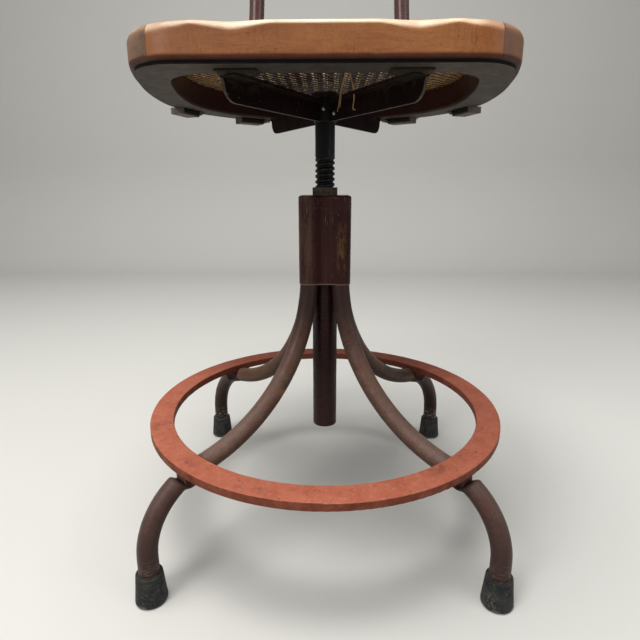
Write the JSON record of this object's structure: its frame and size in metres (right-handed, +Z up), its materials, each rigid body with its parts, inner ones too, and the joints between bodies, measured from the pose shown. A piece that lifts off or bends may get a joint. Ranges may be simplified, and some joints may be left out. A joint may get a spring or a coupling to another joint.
{
  "type": "operator chair",
  "caption": "Screw-raised swivel operator chair: bent tube legs with a flat foot ring, wood-framed cane seat on a riveted steel spider, and a bent wood back on tube uprights.",
  "frame": {"origin": "on the floor, under the spindle's axis, which is the centre of the foot ring", "axes": "+Z up along the spindle; the sitter faces -Y; names say left and right as seen from the front, looking along +Y, so right is +X"},
  "size_m": [0.4571, 0.4572, 0.865],
  "materials": {
    "maroon_paint": "dark maroon gloss enamel, worn",
    "oxide_paint": "red oxide paint, chipped and rubbed",
    "underframe_paint": "dull black-brown paint",
    "black_steel": "oiled black steel",
    "nut_steel": "browned steel",
    "bright_steel": "dulled steel",
    "amber_wood": "amber varnish, worn",
    "brown_wood": "brown varnish, worn",
    "dowel_wood": "bare",
    "cane": "woven cane, golden",
    "rubber": "black rubber, scuffed",
    "black_plastic": "moulded plug"
  },
  "bodies": {
    "base": {"post_tube": "maroon_paint", "hub_sleeve": "maroon_paint", "spindle_nut": "nut_steel", "foot_ring": "oxide_paint", "cap_washers": "bright_steel", "leg_front_right": "maroon_paint", "leg_rear_right": "maroon_paint", "leg_rear_left": "maroon_paint", "leg_front_left": "maroon_paint", "ring_saddle_front_right": "oxide_paint", "ring_saddle_rear_right": "oxide_paint", "ring_saddle_rear_left": "oxide_paint", "ring_saddle_front_left": "oxide_paint", "foot_cap_front_right": "rubber", "foot_cap_rear_right": "rubber", "foot_cap_rear_left": "rubber", "foot_cap_front_left": "rubber"},
    "lift": {"stop_washer": "bright_steel"},
    "seat": {"spindle": "black_steel", "spindle_tip_nut": "bright_steel", "spider_boss": "underframe_paint", "boss_screws": "bright_steel", "spider_rivets": "underframe_paint", "seat_ring": "underframe_paint", "spider_arm_front_left": "underframe_paint", "spider_arm_front_right": "underframe_paint", "spider_arm_rear_left": "underframe_paint", "spider_arm_rear_right": "underframe_paint", "clip_outer_left": "underframe_paint", "clip_outer_right": "underframe_paint", "clip_inner_left": "underframe_paint", "clip_inner_right": "underframe_paint", "seat_screws": "bright_steel", "seat_rail_front": "amber_wood", "seat_rail_rear": "brown_wood", "seat_rail_left": "brown_wood", "seat_rail_right": "brown_wood", "rail_dowels": "dowel_wood", "cane_sheet": "cane", "cane_spline": "cane", "upright_left": "maroon_paint", "upright_right": "maroon_paint", "upright_plugs": "black_plastic", "back_board": "amber_wood", "back_bolts": "bright_steel", "back_nuts": "bright_steel"}
  },
  "joints": [
    {"name": "seat_height", "type": "slide", "parent": "base", "child": "lift", "axis": [0, 0, 1], "range_m": [-0.0318, 0.108]},
    {"name": "seat_turn", "type": "hinge", "parent": "lift", "child": "seat", "pos_m": [0, 0, 0.43], "axis": [0, 0, 1], "range_deg": [-1800, 6120]}
  ],
  "couplings": [
    {"joint": "seat_height", "follows": "seat_turn", "m_per_rad": 0.0010106}
  ]
}
